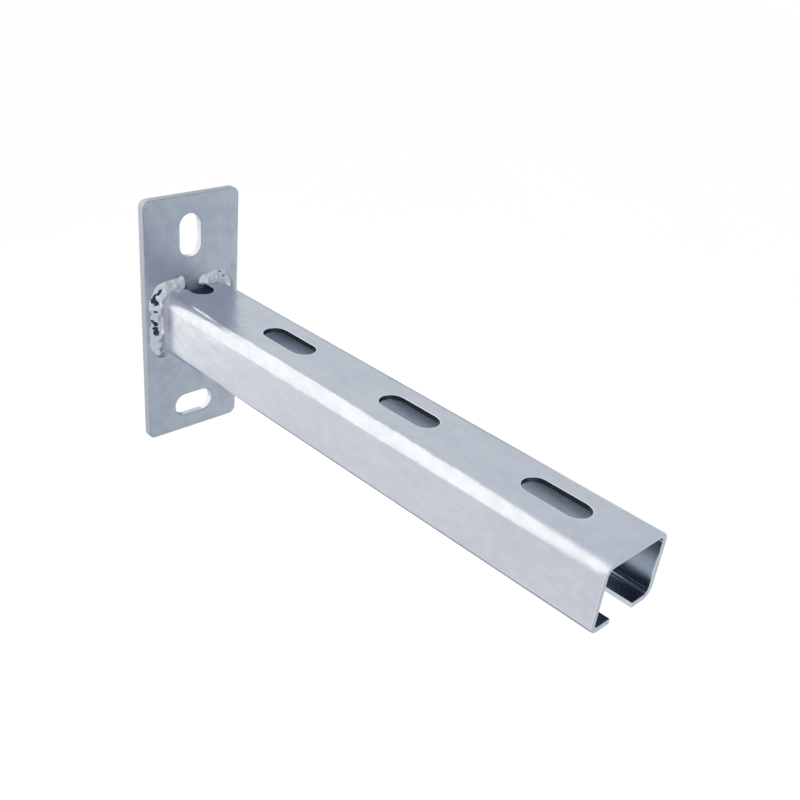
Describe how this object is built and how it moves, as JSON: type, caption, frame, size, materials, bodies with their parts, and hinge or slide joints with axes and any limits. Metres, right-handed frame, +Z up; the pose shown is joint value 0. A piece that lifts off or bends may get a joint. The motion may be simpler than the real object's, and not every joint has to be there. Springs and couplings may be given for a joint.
{
  "type": "cantilever strut arm",
  "caption": "Slotted strut channel arm with its open side down, welded square to a slotted wall plate to carry pipe, duct or cable tray off a wall.",
  "frame": {"origin": "middle of the wall plate's back face", "axes": "+X away from the wall along the arm, +Y across the arm, +Z up the plate"},
  "size_m": [0.29, 0.058, 0.134],
  "materials": {
    "plate_zinc": "satin bright zinc plating",
    "channel_zinc": "bright zinc plating",
    "weld_zinc": "rippled weld metal, zinc plated, with dark burnt patches"
  },
  "bodies": {
    "root": {"back_plate": "plate_zinc", "strut_channel": "channel_zinc", "near_weld_bead": "weld_zinc", "far_weld_bead": "weld_zinc"}
  },
  "joints": []
}
